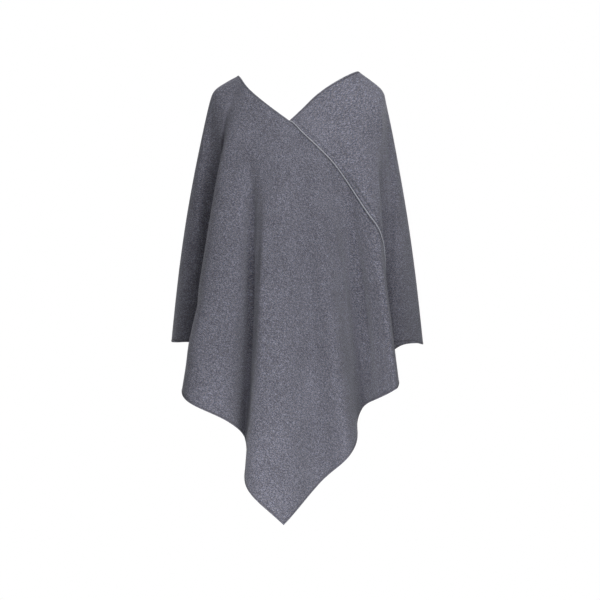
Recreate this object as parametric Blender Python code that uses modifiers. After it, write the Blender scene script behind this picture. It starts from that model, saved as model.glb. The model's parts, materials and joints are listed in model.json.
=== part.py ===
"""Knitted poncho sweater, as it hangs when worn.

Two equal knitted rectangles, the end of each sewn to the side of the other, so that
one sits over each shoulder and the free edges leave a V neck at front and back.

Metres, +Z up. The wearer faces -Y and their left arm is at +X. The origin is midway
between the two peaks of the neck edge, where the poncho rests on the shoulders.

Spread flat round the point where its two shoulder lines would meet (the apex), the
sewn cloth fills half a turn. Every point of it has an angle there, in degrees: 0 at
the front tip, +-45 at the shoulder lines, +-90 at the back tip, + to the wearer's
left. Its other coordinate is its distance from the apex. The drape carries those two
numbers to a place in space: over the shoulders to a ring where the cloth breaks away
from the body, and from there down to the hem.
"""
from collections import namedtuple

import bmesh
import bpy
import numpy as np

# The cut
PANEL_WIDTH = 0.635          # from the neck edge of a panel to its outer hem
PANEL_LENGTH = 1.015         # from its sewn end to its free end
WALL = 0.0020                # thickness of the knit
SEAM_GAP = 0.0003            # between the panels where they are sewn
HALF_NECK = (PANEL_LENGTH - PANEL_WIDTH) / 2     # shoulder line to V, along the neck
QUARTER_HEM = PANEL_WIDTH + HALF_NECK            # shoulder line to tip, along the hem

# The neck ring, which passes through the two shoulder peaks
NECK_HALF_WIDTH = 0.135
NECK_HALF_DEPTH = 0.054
NECK_DROP = 0.045            # front and back of the ring below the peaks
NECK_LEAN = 0.0045           # the left peak stands this much above the origin
NECK_SAG = 0.016             # the neck edge hangs slack at the right of the front
NECK_TURN = -17.0            # the poncho is pulled round the neck, degrees

# The break ring, where the cloth leaves the shoulders, chest and back
BREAK_HALF_WIDTH = 0.194
BREAK_DEPTH_FRONT, BREAK_DEPTH_BACK = 0.143, 0.135
BREAK_ROUND_FRONT, BREAK_ROUND_BACK = 2.2, 1.8   # powers of the ring's outline
BREAK_DROP_SIDE, BREAK_DROP_FRONT, BREAK_DROP_BACK = 0.036, 0.242, 0.225
BREAK_DROP_POWER = 1.5       # how flat the ring runs over the shoulders
BREAK_CLOTH_SIDE, BREAK_CLOTH_FRONT = 0.25, 0.42 # cloth from the apex to the ring
BREAK_TURN = -10.0           # the poncho is pulled round the chest, degrees

# How the cloth spreads round the body and bends over the break ring
SPREAD = 11.0                # degrees by which it crowds towards front and back
SPREAD_FRONT_LEFT = 7.5      # less so under the front seam
BEND_SIDE, BEND_FRONT = 0.014, 0.084             # cloth length of the bend
SLEEVE_BOW = 0.012           # the sleeves bulge outwards by this much
SLEEVE_BOW_POWER = 8         # and only near the shoulder lines
FOLD_SOFTNESS = 0.9          # degrees to each side over which a fold's crest is rounded

# Hem folds, in order round the body. Columns: the row's name; along, its place on the
# hem, measured from the front tip, + to the wearer's left; x and y, where the hem
# hangs there; start, how far the break ring stands out; slack, the cloth length that
# small creases take up above it. Left and right in a name are the wearer's.
Fold = namedtuple("Fold", "name along x y start slack")
FOLDS = [
    Fold("back tip", -1.650, -0.005, 0.195, 0.000, 0.000),
    Fold("back right trough", -1.530, -0.045, 0.135, 0.000, 0.000),
    Fold("back right ridge inner", -1.440, -0.108, 0.188, 0.000, 0.000),
    Fold("back right ridge outer", -1.400, -0.128, 0.178, 0.000, 0.000),
    Fold("back right valley inner", -1.335, -0.102, 0.134, 0.000, 0.000),
    Fold("back right valley outer", -1.285, -0.118, 0.121, 0.000, 0.000),
    Fold("back right lobe inner", -1.215, -0.170, 0.167, 0.000, 0.000),
    Fold("back right lobe outer", -1.150, -0.230, 0.170, 0.000, 0.000),
    Fold("back right lobe front", -1.115, -0.208, 0.148, 0.000, 0.000),
    Fold("back right arm valley outer", -1.072, -0.180, 0.130, -0.004, 0.000),
    Fold("back right arm valley inner", -1.048, -0.180, 0.108, -0.009, 0.004),
    Fold("right sleeve inner", -1.005, -0.206, 0.090, -0.012, 0.012),
    Fold("right sleeve back", -0.960, -0.243, 0.106, 0.000, 0.022),
    Fold("right sleeve turn", -0.910, -0.282, 0.098, 0.000, 0.006),
    Fold("right sleeve side", -0.860, -0.291, 0.060, 0.000, 0.000),
    Fold("right sleeve bend", -0.805, -0.276, 0.020, 0.000, 0.003),
    Fold("right sleeve front", -0.750, -0.236, -0.008, 0.000, 0.018),
    Fold("right arm valley back", -0.675, -0.168, 0.010, -0.030, 0.006),
    Fold("right arm valley front", -0.620, -0.142, -0.030, -0.030, 0.000),
    Fold("front right lobe back", -0.495, -0.255, -0.080, 0.006, 0.000),
    Fold("front right lobe outer", -0.445, -0.245, -0.120, 0.006, 0.000),
    Fold("front right lobe inner", -0.335, -0.149, -0.113, 0.000, 0.008),
    Fold("front right valley outer", -0.265, -0.119, -0.052, -0.003, 0.004),
    Fold("front right valley inner", -0.200, -0.112, -0.096, -0.002, 0.002),
    Fold("front centre right ridge", -0.115, -0.113, -0.160, 0.000, 0.000),
    Fold("front tip", 0.000, -0.031, -0.170, 0.000, 0.000),
    Fold("front centre trough", 0.140, 0.058, -0.120, 0.000, 0.000),
    Fold("front centre left ridge", 0.215, 0.108, -0.160, 0.000, 0.000),
    Fold("front centre left back", 0.265, 0.127, -0.118, 0.000, 0.000),
    Fold("front left valley inner", 0.325, 0.129, -0.064, -0.001, 0.002),
    Fold("front left valley outer", 0.388, 0.146, -0.032, -0.003, 0.002),
    Fold("front left lobe inner", 0.450, 0.178, -0.082, 0.000, 0.002),
    Fold("front left lobe outer", 0.497, 0.211, -0.114, 0.000, 0.002),
    Fold("front left lobe back", 0.545, 0.220, -0.080, 0.000, 0.000),
    Fold("left arm valley front", 0.650, 0.142, -0.040, -0.006, 0.000),
    Fold("left arm valley back", 0.710, 0.176, 0.002, -0.006, 0.008),
    Fold("left sleeve front", 0.770, 0.218, -0.014, 0.000, 0.014),
    Fold("left sleeve bend", 0.830, 0.260, 0.022, 0.000, 0.003),
    Fold("left sleeve side", 0.890, 0.286, 0.070, 0.000, 0.000),
    Fold("left sleeve turn", 0.940, 0.279, 0.106, 0.000, 0.012),
    Fold("left sleeve back", 0.985, 0.237, 0.110, 0.000, 0.024),
    Fold("left sleeve inner", 1.025, 0.201, 0.094, -0.012, 0.014),
    Fold("back left arm valley inner", 1.058, 0.173, 0.110, -0.010, 0.004),
    Fold("back left arm valley outer", 1.098, 0.176, 0.130, -0.006, 0.000),
    Fold("back left lobe front", 1.135, 0.205, 0.150, 0.000, 0.000),
    Fold("back left lobe outer", 1.165, 0.216, 0.174, 0.000, 0.000),
    Fold("back left lobe inner", 1.235, 0.156, 0.168, 0.000, 0.000),
    Fold("back left valley outer", 1.305, 0.108, 0.119, 0.000, 0.000),
    Fold("back left valley inner", 1.350, 0.092, 0.130, 0.000, 0.000),
    Fold("back left ridge outer", 1.415, 0.116, 0.178, 0.000, 0.000),
    Fold("back left ridge inner", 1.455, 0.098, 0.188, 0.000, 0.000),
    Fold("back left trough", 1.540, 0.035, 0.135, 0.000, 0.000),
]

# Drag lines that run down from the shoulders: troughs with soft ends, or a ridge where
# the depth is below zero. Columns: name; angle and distance of each end; width; depth.
DRAG_FADE_POWER = 0.7
Drag = namedtuple("Drag", "name angle_a distance_a angle_b distance_b width depth")
DRAGS = [
    Drag("front right shoulder drag", -27.0, 0.27, -11.5, 0.56, 0.030, 0.010),
    Drag("front left shoulder ridge", 39.0, 0.25, 25.5, 0.60, 0.022, -0.010),
    Drag("back left shoulder drag", 66.0, 0.30, 78.0, 0.56, 0.030, 0.007),
    Drag("back right shoulder drag", -63.0, 0.28, -73.0, 0.50, 0.030, 0.008),
]

# The mesh: a grid on each panel, whose lines meet those of the other at the seams
CELLS_ACROSS = 30            # over the width, and over the seam that faces it
CELLS_NECK = 18              # over the free neck edge
EDGE_CELL = 0.0008           # a narrow first cell keeps the seam's two faces parallel

YARN_COLOUR = (0.127, 0.125, 0.153, 1.0)
YARN_ROUGHNESS = 0.95

HALF_TURN = 180.0
SHOULDER_LINE = 45.0         # angle of the shoulder lines in the spread cloth


def sine(degrees):
    return np.sin(np.radians(degrees))


def cosine(degrees):
    return np.cos(np.radians(degrees))


def wrapped(angle):
    """The same angle between -90 and 90 degrees: the cloth closes at the back tip."""
    return (angle + HALF_TURN / 2) % HALF_TURN - HALF_TURN / 2


def edge_distance(angle, straight):
    """Distance to a straight edge that passes this far from the apex at a shoulder."""
    return straight / cosine(SHOULDER_LINE - np.abs(wrapped(angle)))


def hem_angle(along):
    """Angle of the point at this length along the hem from the front tip."""
    to_shoulder = 1 - np.abs(along) / QUARTER_HEM
    return wrapped(np.sign(along) * (SHOULDER_LINE - np.degrees(np.arctan(to_shoulder))))


def break_distance(angle):
    """Cloth length from the apex to the ring where the cloth leaves the body."""
    more = BREAK_CLOTH_FRONT - BREAK_CLOTH_SIDE
    return BREAK_CLOTH_SIDE + more * cosine(2 * angle) ** 2


def bearing(angle, turn):
    """Direction round the body, 0 to the front, in degrees."""
    front_left = (angle > 0) & (angle < SHOULDER_LINE)
    spread = np.where(front_left, SPREAD_FRONT_LEFT, SPREAD)
    facing = cosine(2 * angle)
    return 2 * angle + spread * sine(4 * angle) + turn * facing * np.abs(facing)


def round_closed(angles, values, at):
    """Smooth closed curve through values at angles, read at other angles."""
    order = np.argsort(angles)
    angles, values = angles[order], values[order]
    knots = np.concatenate([angles[-2:] - HALF_TURN, angles, angles[:2] + HALF_TURN])
    values = np.concatenate([values[-2:], values, values[:2]])
    steps = np.diff(knots)[:, None]
    slopes = np.diff(values, axis=0) / steps
    tangents = np.zeros_like(values)
    blend = steps[1:] * slopes[:-1] + steps[:-1] * slopes[1:]
    tangents[1:-1] = blend / (steps[1:] + steps[:-1])
    at = (at - angles[0]) % HALF_TURN + angles[0]
    left = np.clip(np.searchsorted(knots, at, side="right") - 1, 1, len(knots) - 3)
    step = steps[left]
    t = (at - knots[left])[:, None] / step
    from_left = (1 + 2 * t) * (1 - t) ** 2 * values[left]
    from_right = t ** 2 * (3 - 2 * t) * values[left + 1]
    leaving = t * (1 - t) ** 2 * step * tangents[left]
    arriving = t ** 2 * (t - 1) * step * tangents[left + 1]
    return from_left + from_right + leaving + arriving


def fold_column(name):
    return np.array([getattr(fold, name) for fold in FOLDS])


def round_body(direction, radius, height):
    return np.stack([radius * sine(direction), -radius * cosine(direction), height], -1)


def neck_ring(angle):
    """The ring through the shoulder peaks, one half-neck from the apex."""
    direction = bearing(angle, NECK_TURN)
    widening = (NECK_HALF_WIDTH - NECK_HALF_DEPTH) * sine(direction) ** 2
    front_right = (sine(direction) < 0) & (cosine(direction) > 0)
    sag = np.where(front_right, NECK_SAG * sine(2 * direction) ** 2, 0.0)
    drop = NECK_DROP * cosine(direction) ** 2
    lean = NECK_LEAN * sine(direction)
    return round_body(direction, NECK_HALF_DEPTH + widening, lean - drop - sag)


def break_ring(angle):
    """The ring where the cloth leaves the shoulders, the chest and the back."""
    direction = bearing(angle, BREAK_TURN)
    to_front = cosine(direction) > 0
    depth = np.where(to_front, BREAK_DEPTH_FRONT, BREAK_DEPTH_BACK)
    power = np.where(to_front, BREAK_ROUND_FRONT, BREAK_ROUND_BACK)
    wide = np.abs(sine(direction) / BREAK_HALF_WIDTH) ** power
    deep = np.abs(cosine(direction) / depth) ** power
    starts = round_closed(hem_angle(fold_column("along")), fold_column("start")[:, None], angle)
    radius = (wide + deep) ** (-1 / power) + starts[:, 0]
    facing = cosine(2 * angle)
    lowest = np.where(facing > 0, BREAK_DROP_FRONT, BREAK_DROP_BACK)
    drop = BREAK_DROP_SIDE + (lowest - BREAK_DROP_SIDE) * np.abs(facing) ** BREAK_DROP_POWER
    return round_body(direction, radius, -drop)


def fall(angle):
    """Direction in which the cloth falls from the break ring to the hem.

    Each fold's hem point hangs as far down as its length of cloth allows.
    """
    rows = hem_angle(fold_column("along"))
    top = break_ring(rows)
    hanging = edge_distance(rows, QUARTER_HEM) - break_distance(rows)
    out_x = fold_column("x") - top[:, 0]
    out_y = fold_column("y") - top[:, 1]
    reach = hanging - fold_column("slack")
    down = np.sqrt(reach ** 2 - out_x ** 2 - out_y ** 2)
    per_length = np.stack([out_x, out_y, -down], -1) / hanging[:, None]
    before = round_closed(rows, per_length, angle - FOLD_SOFTNESS)
    after = round_closed(rows, per_length, angle + FOLD_SOFTNESS)
    return (before + 2 * round_closed(rows, per_length, angle) + after) / 4


def drag_depth(angle, distance):
    """How far the drag lines pull the cloth in at a point of the spread cloth."""
    def spread(at_angle, at_distance):
        return np.stack([at_distance * cosine(at_angle), at_distance * sine(at_angle)], -1)

    here = spread(angle, distance)
    depth = np.zeros(len(here))
    for drag in DRAGS:
        start = spread(drag.angle_a, drag.distance_a)
        line = spread(drag.angle_b, drag.distance_b) - start
        t = np.clip((here - start) @ line / (line @ line), 0, 1)
        away = np.linalg.norm(here - start - t[:, None] * line, axis=-1)
        fade = np.sin(np.pi * t) ** DRAG_FADE_POWER
        depth += drag.depth * fade * np.exp(-(away / drag.width) ** 2)
    return depth


def drape(angle, distance):
    """Place in space of points of the spread cloth."""
    angle = wrapped(angle)
    ring = break_ring(angle)
    climb = (neck_ring(angle) - ring) / (break_distance(angle) - HALF_NECK)[:, None]
    bend = BEND_SIDE + (BEND_FRONT - BEND_SIDE) * cosine(2 * angle) ** 2
    past = distance - break_distance(angle)
    below = (past + np.sqrt(past ** 2 + bend ** 2)) / 2
    points = ring + climb * (below - past)[:, None] + fall(angle) * below[:, None]
    share = past / (edge_distance(angle, QUARTER_HEM) - break_distance(angle))
    at_side = sine(2 * angle) ** SLEEVE_BOW_POWER
    bulge = SLEEVE_BOW * np.sin(np.pi * np.clip(share, 0, 1)) * at_side
    outward = round_body(bearing(angle, BREAK_TURN), 1.0, np.zeros(len(angle)))
    return points + outward * (bulge - drag_depth(angle, distance))[:, None]


def panel_points(side, across, along):
    """Places of points of a panel, side +1 for the wearer's left and -1 for the right.

    across runs from the neck edge to the outer hem, and along from the sewn end to
    the free end, with 0 at the shoulder line.
    """
    from_shoulder = np.degrees(np.arctan2(along, across + HALF_NECK))
    distance = np.hypot(across + HALF_NECK, along)
    return drape(side * SHOULDER_LINE + from_shoulder, distance)


def grid_lines():
    """Grid lines of a panel, across it and along it, each starting with a narrow cell."""
    width = np.linspace(0.0, PANEL_WIDTH, CELLS_ACROSS + 1)
    seam = np.concatenate([[0.0, EDGE_CELL], width[1:]])
    neck = np.linspace(-HALF_NECK, HALF_NECK, CELLS_NECK + 1)
    along = np.concatenate([[neck[0], neck[0] + EDGE_CELL], neck[1:-1], HALF_NECK + seam])
    return seam, along


def unit(vectors):
    return vectors / np.linalg.norm(vectors, axis=-1, keepdims=True)


def beside_seam(seam, near):
    """The two grid lines beside a seam, set square to it so that facing rims are parallel."""
    run = unit(np.gradient(seam, axis=0))
    away = near - seam
    away = unit(away - (away * run).sum(-1, keepdims=True) * run)
    return seam + away * SEAM_GAP / 2, seam + away * EDGE_CELL


def panel_grid(side):
    """Places of a panel's grid points, by grid line across and by grid line along."""
    across, along = grid_lines()
    flat = [lines.ravel() for lines in np.meshgrid(across, along, indexing="ij")]
    grid = panel_points(side, *flat).reshape(len(across), len(along), 3)
    grid[:, 0], grid[:, 1] = beside_seam(grid[:, 0], grid[:, 1])
    sewn = along >= HALF_NECK
    grid[0, sewn], grid[1, sewn] = beside_seam(grid[0, sewn], grid[1, sewn])
    return grid


def yarn_material(name):
    material = bpy.data.materials.new(name)
    material.use_nodes = True
    shader = material.node_tree.nodes["Principled BSDF"]
    shader.inputs["Base Color"].default_value = YARN_COLOUR
    shader.inputs["Roughness"].default_value = YARN_ROUGHNESS
    shader.inputs["Metallic"].default_value = 0.0
    material.diffuse_color = YARN_COLOUR
    return material


def make_panel(name, side, collection, parent):
    """One knitted rectangle: a grid draped in place, then given its thickness."""
    grid = panel_grid(side)
    cells = (grid.shape[0] - 1, grid.shape[1] - 1)
    sheet = bmesh.new()
    bmesh.ops.create_grid(sheet, x_segments=cells[0], y_segments=cells[1], size=0.5)
    for vertex in sheet.verts:
        column = round((vertex.co.x + 0.5) * cells[0])
        row = round((vertex.co.y + 0.5) * cells[1])
        vertex.co = grid[column, row]
    mesh = bpy.data.meshes.new(name)
    sheet.to_mesh(mesh)
    sheet.free()
    mesh.shade_smooth()
    mesh.materials.append(yarn_material(name + "_yarn"))
    panel = bpy.data.objects.new(name, mesh)
    panel.parent = parent
    collection.objects.link(panel)
    wall = panel.modifiers.new("wall", "SOLIDIFY")
    wall.thickness = WALL
    wall.offset = 0.0
    # The rims that face each other at a seam are cut along the same diagonals
    facets = panel.modifiers.new("facets", "TRIANGULATE")
    facets.quad_method = "FIXED" if side < 0 else "FIXED_ALTERNATE"
    return panel


def main():
    for leftover in list(bpy.data.objects):
        bpy.data.objects.remove(leftover)
    poncho = bpy.data.collections.new("knitted_poncho")
    bpy.context.scene.collection.children.link(poncho)
    shoulders = bpy.data.objects.new("shoulders", None)
    poncho.objects.link(shoulders)
    make_panel("right_panel", -1, poncho, shoulders)
    make_panel("left_panel", 1, poncho, shoulders)


main()
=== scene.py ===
"""Knitted poncho sweater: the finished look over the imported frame.

Both knitted panels are fine thin shells on the drape of the CAD solids, with the small
creases, the lapped seams, the ribs beside them and the rolled edges of the real knit.
Chain stitches link the seams and finish the edges. The stitches of the knit itself are
in its material.

Metres, +Z up. The wearer faces -Y and their left arm is at +X. The origin is midway
between the two peaks of the neck edge.
"""
import json
from collections import namedtuple

import bmesh
import bpy
import numpy as np
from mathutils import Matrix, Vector


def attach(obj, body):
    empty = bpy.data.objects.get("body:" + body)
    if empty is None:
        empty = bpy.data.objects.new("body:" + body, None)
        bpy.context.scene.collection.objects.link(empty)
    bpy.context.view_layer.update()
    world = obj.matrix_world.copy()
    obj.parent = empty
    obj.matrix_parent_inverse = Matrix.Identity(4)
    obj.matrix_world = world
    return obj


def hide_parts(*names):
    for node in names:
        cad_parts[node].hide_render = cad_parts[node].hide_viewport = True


bl_info = {
    "name": "Knitted poncho",
    "version": (1, 0, 0),
    "blender": (4, 5, 0),
    "location": "3D View > Sidebar > Poncho",
    "description": "Builds a draped poncho of two knitted rectangles, with its seams and knit",
    "category": "Object",
}

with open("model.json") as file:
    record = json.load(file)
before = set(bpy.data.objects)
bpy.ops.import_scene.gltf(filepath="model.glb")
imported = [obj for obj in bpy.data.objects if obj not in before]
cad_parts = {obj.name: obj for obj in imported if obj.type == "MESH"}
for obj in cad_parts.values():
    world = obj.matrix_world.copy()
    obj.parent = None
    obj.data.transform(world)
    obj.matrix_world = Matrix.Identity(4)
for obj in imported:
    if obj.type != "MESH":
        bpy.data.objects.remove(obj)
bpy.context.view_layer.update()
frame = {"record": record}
RECORD = frame["record"]
YARN = tuple(RECORD["materials"][0]["base_color"])
BODY = "root"

# The cut
PANEL_WIDTH = 0.635          # from the neck edge of a panel to its outer hem
PANEL_LENGTH = 1.015         # from its sewn end to its free end
WALL = 0.0020                # thickness of the knit
SEAM_GAP = 0.0003            # between the panels where they are sewn
HALF_NECK = (PANEL_LENGTH - PANEL_WIDTH) / 2     # shoulder line to V, along the neck
QUARTER_HEM = PANEL_WIDTH + HALF_NECK            # shoulder line to tip, along the hem

# The neck ring, which passes through the two shoulder peaks
NECK_HALF_WIDTH = 0.135
NECK_HALF_DEPTH = 0.054
NECK_DROP = 0.045            # front and back of the ring below the peaks
NECK_LEAN = 0.0045           # the left peak stands this much above the origin
NECK_SAG = 0.016             # the neck edge hangs slack at the right of the front
NECK_TURN = -17.0            # the poncho is pulled round the neck, degrees

# The break ring, where the cloth leaves the shoulders, chest and back
BREAK_HALF_WIDTH = 0.194
BREAK_DEPTH_FRONT, BREAK_DEPTH_BACK = 0.143, 0.135
BREAK_ROUND_FRONT, BREAK_ROUND_BACK = 2.2, 1.8   # powers of the ring's outline
BREAK_DROP_SIDE, BREAK_DROP_FRONT, BREAK_DROP_BACK = 0.036, 0.242, 0.225
BREAK_DROP_POWER = 1.5       # how flat the ring runs over the shoulders
BREAK_CLOTH_SIDE, BREAK_CLOTH_FRONT = 0.25, 0.42 # cloth from the apex to the ring
BREAK_TURN = -10.0           # the poncho is pulled round the chest, degrees

# How the cloth spreads round the body and bends over the break ring
SPREAD = 11.0                # degrees by which it crowds towards front and back
SPREAD_FRONT_LEFT = 7.5      # less so under the front seam
BEND_SIDE, BEND_FRONT = 0.014, 0.084             # cloth length of the bend
SLEEVE_BOW = 0.012           # the sleeves bulge outwards by this much
SLEEVE_BOW_POWER = 8         # and only near the shoulder lines
FOLD_SOFTNESS = 0.9          # degrees to each side over which a fold's crest is rounded
START_SOFTNESS = 2.6         # degrees over which the break ring's swing is rounded

# Hem folds, in order round the body. Columns: the row's name; along, its place on the
# hem, measured from the front tip, + to the wearer's left; x and y, where the hem
# hangs there; start, how far the break ring stands out; slack, the cloth length that
# small creases take up above it. Left and right in a name are the wearer's.
Fold = namedtuple("Fold", "name along x y start slack")
FOLDS = [
    Fold("back tip", -1.650, -0.005, 0.195, 0.000, 0.000),
    Fold("back right trough", -1.530, -0.045, 0.135, 0.000, 0.000),
    Fold("back right ridge inner", -1.440, -0.108, 0.188, 0.000, 0.000),
    Fold("back right ridge outer", -1.400, -0.128, 0.178, 0.000, 0.000),
    Fold("back right valley inner", -1.335, -0.102, 0.134, 0.000, 0.000),
    Fold("back right valley outer", -1.285, -0.118, 0.121, 0.000, 0.000),
    Fold("back right lobe inner", -1.215, -0.170, 0.167, 0.000, 0.000),
    Fold("back right lobe outer", -1.150, -0.230, 0.170, 0.000, 0.000),
    Fold("back right lobe front", -1.115, -0.208, 0.148, 0.000, 0.000),
    Fold("back right arm valley outer", -1.072, -0.180, 0.130, -0.004, 0.000),
    Fold("back right arm valley inner", -1.048, -0.180, 0.108, -0.009, 0.004),
    Fold("right sleeve inner", -1.005, -0.206, 0.090, -0.012, 0.012),
    Fold("right sleeve back", -0.960, -0.243, 0.106, 0.000, 0.022),
    Fold("right sleeve turn", -0.910, -0.282, 0.098, 0.000, 0.006),
    Fold("right sleeve side", -0.860, -0.291, 0.060, 0.000, 0.000),
    Fold("right sleeve bend", -0.805, -0.276, 0.020, 0.000, 0.003),
    Fold("right sleeve front", -0.750, -0.236, -0.008, 0.000, 0.018),
    Fold("right arm valley back", -0.675, -0.168, 0.010, -0.030, 0.006),
    Fold("right arm valley front", -0.620, -0.142, -0.030, -0.030, 0.000),
    Fold("front right lobe back", -0.495, -0.255, -0.080, 0.006, 0.000),
    Fold("front right lobe outer", -0.445, -0.245, -0.120, 0.006, 0.000),
    Fold("front right lobe inner", -0.335, -0.149, -0.113, 0.000, 0.008),
    Fold("front right valley outer", -0.265, -0.119, -0.052, -0.003, 0.004),
    Fold("front right valley inner", -0.200, -0.112, -0.096, -0.002, 0.002),
    Fold("front centre right ridge", -0.115, -0.113, -0.160, 0.000, 0.000),
    Fold("front tip", 0.000, -0.031, -0.170, 0.000, 0.000),
    Fold("front centre trough", 0.140, 0.058, -0.120, 0.000, 0.000),
    Fold("front centre left ridge", 0.215, 0.108, -0.160, 0.000, 0.000),
    Fold("front centre left back", 0.265, 0.127, -0.118, 0.000, 0.000),
    Fold("front left valley inner", 0.325, 0.129, -0.064, -0.001, 0.002),
    Fold("front left valley outer", 0.388, 0.146, -0.032, -0.003, 0.002),
    Fold("front left lobe inner", 0.450, 0.178, -0.082, 0.000, 0.002),
    Fold("front left lobe outer", 0.497, 0.211, -0.114, 0.000, 0.002),
    Fold("front left lobe back", 0.545, 0.220, -0.080, 0.000, 0.000),
    Fold("left arm valley front", 0.650, 0.142, -0.040, -0.006, 0.000),
    Fold("left arm valley back", 0.710, 0.176, 0.002, -0.006, 0.008),
    Fold("left sleeve front", 0.770, 0.218, -0.014, 0.000, 0.014),
    Fold("left sleeve bend", 0.830, 0.260, 0.022, 0.000, 0.003),
    Fold("left sleeve side", 0.890, 0.286, 0.070, 0.000, 0.000),
    Fold("left sleeve turn", 0.940, 0.279, 0.106, 0.000, 0.012),
    Fold("left sleeve back", 0.985, 0.237, 0.110, 0.000, 0.024),
    Fold("left sleeve inner", 1.025, 0.201, 0.094, -0.012, 0.014),
    Fold("back left arm valley inner", 1.058, 0.173, 0.110, -0.010, 0.004),
    Fold("back left arm valley outer", 1.098, 0.176, 0.130, -0.006, 0.000),
    Fold("back left lobe front", 1.135, 0.205, 0.150, 0.000, 0.000),
    Fold("back left lobe outer", 1.165, 0.216, 0.174, 0.000, 0.000),
    Fold("back left lobe inner", 1.235, 0.156, 0.168, 0.000, 0.000),
    Fold("back left valley outer", 1.305, 0.108, 0.119, 0.000, 0.000),
    Fold("back left valley inner", 1.350, 0.092, 0.130, 0.000, 0.000),
    Fold("back left ridge outer", 1.415, 0.116, 0.178, 0.000, 0.000),
    Fold("back left ridge inner", 1.455, 0.098, 0.188, 0.000, 0.000),
    Fold("back left trough", 1.540, 0.035, 0.135, 0.000, 0.000),
]

# Drag lines that run down from the shoulders: troughs with soft ends, or a ridge where
# the depth is below zero. Columns: name; angle and distance of each end; width; depth.
DRAG_FADE_POWER = 0.7
Drag = namedtuple("Drag", "name angle_a distance_a angle_b distance_b width depth")
DRAGS = [
    Drag("front right shoulder drag", -27.0, 0.27, -11.5, 0.56, 0.030, 0.010),
    Drag("front left shoulder ridge", 39.0, 0.25, 25.5, 0.60, 0.022, -0.010),
    Drag("back left shoulder drag", 66.0, 0.30, 78.0, 0.56, 0.030, 0.007),
    Drag("back right shoulder drag", -63.0, 0.28, -73.0, 0.50, 0.030, 0.008),
]

# Small creases, finer than the solids have. Same columns as the drag lines, and a
# depth below zero is a ridge.
CREASES = [
    Drag("right shoulder fill", -34.0, 0.195, -33.2, 0.48, 0.026, -0.015),
    Drag("right shoulder valley", -40.5, 0.25, -38.2, 0.58, 0.012, 0.008),
    Drag("right lobe diagonal", -17.0, 0.62, -27.0, 0.78, 0.020, 0.0035),
    Drag("right lobe diagonal crest", -15.0, 0.66, -24.0, 0.83, 0.018, -0.0025),
    Drag("front right valley", -13.8, 0.36, -9.3, 0.94, 0.013, 0.015),
    Drag("front right valley rim", -7.5, 0.42, -3.0, 0.92, 0.014, -0.006),
    Drag("front left valley shoulder", 13.0, 0.48, 14.0, 0.86, 0.016, -0.008),
    Drag("front left valley", 18.6, 0.36, 19.2, 0.90, 0.014, 0.015),
    Drag("front left valley rim", 24.2, 0.44, 23.2, 0.92, 0.012, -0.009),
    Drag("left lobe edge", 35.0, 0.24, 33.0, 0.62, 0.013, -0.009),
    Drag("left arm crease", 44.0, 0.26, 39.5, 0.66, 0.014, 0.009),
    Drag("right sleeve crease", -52.0, 0.30, -50.0, 0.62, 0.014, 0.004),
    Drag("left sleeve crease", 52.0, 0.32, 51.0, 0.66, 0.013, 0.004),
    Drag("back left lobe diagonal", 64.0, 0.55, 58.0, 0.80, 0.018, 0.005),
    Drag("back left valley", 73.0, 0.44, 70.5, 0.86, 0.014, 0.008),
    Drag("back left valley rim", 78.0, 0.46, 76.0, 0.88, 0.012, -0.005),
    Drag("back middle crease", 86.0, 0.42, 88.5, 0.80, 0.015, 0.005),
    Drag("back right valley rim", -79.0, 0.42, -76.0, 0.88, 0.012, -0.005),
    Drag("back right valley", -73.5, 0.42, -69.5, 0.86, 0.014, 0.008),
    Drag("back right lobe diagonal", -66.0, 0.52, -59.0, 0.78, 0.018, 0.004),
]

# Soft studio lights. Columns: name; direction from the front, degrees, + to the wearer's
# left; height in degrees; distance from the middle of the poncho; watts; size across.
LIT_POINT = Vector((0.0, 0.0, -0.5))
Light = namedtuple("Light", "name direction height distance power size")
LIGHTS = [
    Light("front_low", 0.0, -45.0, 1.2, 11.0, 0.5),
    Light("front_high", 20.0, 30.0, 1.2, 5.0, 0.5),
    Light("top_right", -40.0, 55.0, 3.2, 38.0, 1.2),
    Light("top_left", 40.0, 55.0, 3.2, 50.0, 1.2),
    Light("back_left", 160.0, 15.0, 3.2, 70.0, 1.6),
    Light("back_right", -140.0, -10.0, 3.2, 55.0, 1.6),
]

FLOOR_TONES = (0.84, 0.90)
SENSOR_WIDTH = 36.0          # of the camera, in millimetres

# Angles in the spread cloth, in degrees from the front tip, + to the wearer's left
HALF_TURN = 180.0            # once round the closed cloth
SHOULDER_LINE = 45.0

# Rolled edges of a panel. Columns: distance from the edge; half the wall there.
EDGE_PROFILE = [
    (0.0000, 0.00035), (0.0003, 0.00085), (0.0008, 0.00120), (0.0016, 0.00140),
    (0.0025, 0.00110), (0.0032, 0.00045), (0.0040, 0.00055), (0.0052, WALL / 2),
]
GROOVE_ROW, LIP_ROW = 5, 2   # rows of the profile that carry the edge and seam chains
RIB_CELL = 0.0011            # cells of the mesh across the ribs

# The sewn end, which thins out under the other panel's lapped edge
SEWN_TAPER = 0.0012          # width over which it thins
SEWN_HALF_WALL = 0.0004      # half the wall that is left at the seam

# The lapped edge, which is the neck edge beyond the V
LAP_START, LAP_FULL = -0.004, 0.012              # where the lap sets in, past the V
LAP_REACH = 0.010            # how far from the edge the cloth follows the lap
LAP_LEAST = 0.01             # share of the lap below which the edge keeps its line

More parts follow.
